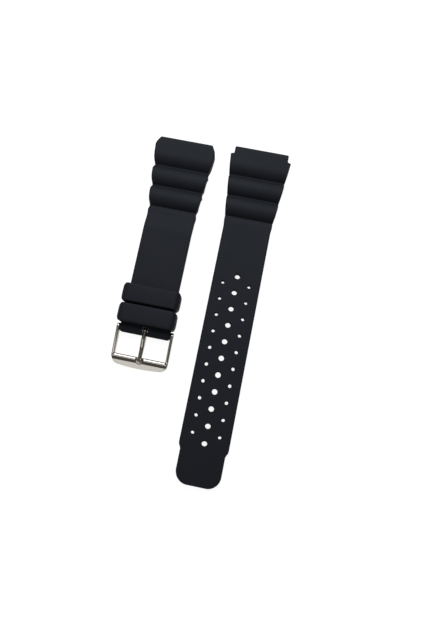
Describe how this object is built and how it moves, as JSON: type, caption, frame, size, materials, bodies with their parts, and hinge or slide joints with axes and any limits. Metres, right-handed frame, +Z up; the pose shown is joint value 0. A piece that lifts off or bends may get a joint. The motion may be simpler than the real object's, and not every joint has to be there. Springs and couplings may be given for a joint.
{
  "type": "dive watch strap",
  "caption": "Two-piece rubber dive strap with moulded waves, a vented pin-hole tail, two sliding keepers and a steel pin buckle on a spring bar.",
  "frame": {"origin": "under the middle of the two halves' bounding box, on the surface that the strap lies on", "axes": "+X across both halves, from the buckle half to the tail half; +Y along them towards the watch; +Z up, out of the wearer's side"},
  "size_m": [0.0552, 0.1334, 0.0092],
  "materials": {
    "rubber": "matt moulded black rubber",
    "polished_steel": "polished stainless steel",
    "bar_steel": "plain drawn stainless steel"
  },
  "bodies": {
    "buckle_half": {"buckle_strap": "rubber", "bar_tube": "bar_steel", "bar_spring": "bar_steel"},
    "tail_half": {"tail_strap": "rubber"},
    "lower_keeper_loop": {"lower_keeper": "rubber"},
    "upper_keeper_loop": {"upper_keeper": "rubber"},
    "frame": {"buckle_frame": "polished_steel"},
    "tongue": {"buckle_tongue": "polished_steel"},
    "left_pin": {"left_plunger": "bar_steel"},
    "right_pin": {"right_plunger": "bar_steel"}
  },
  "joints": [
    {"name": "lower_keeper_slide", "type": "slide", "parent": "buckle_half", "child": "lower_keeper_loop", "axis": [0, 1, 0], "range_m": [0, 0.012]},
    {"name": "upper_keeper_slide", "type": "slide", "parent": "lower_keeper_loop", "child": "upper_keeper_loop", "axis": [0, 1, 0], "range_m": [0, 0.0114]},
    {"name": "frame_hinge", "type": "hinge", "parent": "buckle_half", "child": "frame", "pos_m": [-0.01535, -0.01425, 0.00295], "axis": [-1, 0, 0], "range_deg": [-85, 35]},
    {"name": "tongue_hinge", "type": "hinge", "parent": "frame", "child": "tongue", "pos_m": [-0.01535, -0.01425, 0.00295], "axis": [-1, 0, 0], "range_deg": [0, 60]},
    {"name": "left_plunger_slide", "type": "slide", "parent": "buckle_half", "child": "left_pin", "axis": [1, 0, 0], "range_m": [0, 0.0011], "stiffness_N_per_m": 1000, "springref_m": -0.002, "deforming": ["bar_spring"]},
    {"name": "right_plunger_slide", "type": "slide", "parent": "buckle_half", "child": "right_pin", "axis": [-1, 0, 0], "range_m": [0, 0.0011], "stiffness_N_per_m": 1000, "springref_m": -0.002, "deforming": ["bar_spring"]},
    {"name": "tail_half_slide", "type": "slide", "parent": "buckle_half", "child": "tail_half", "axis": [1, 0, 0], "range_m": [0, 0.04]}
  ]
}
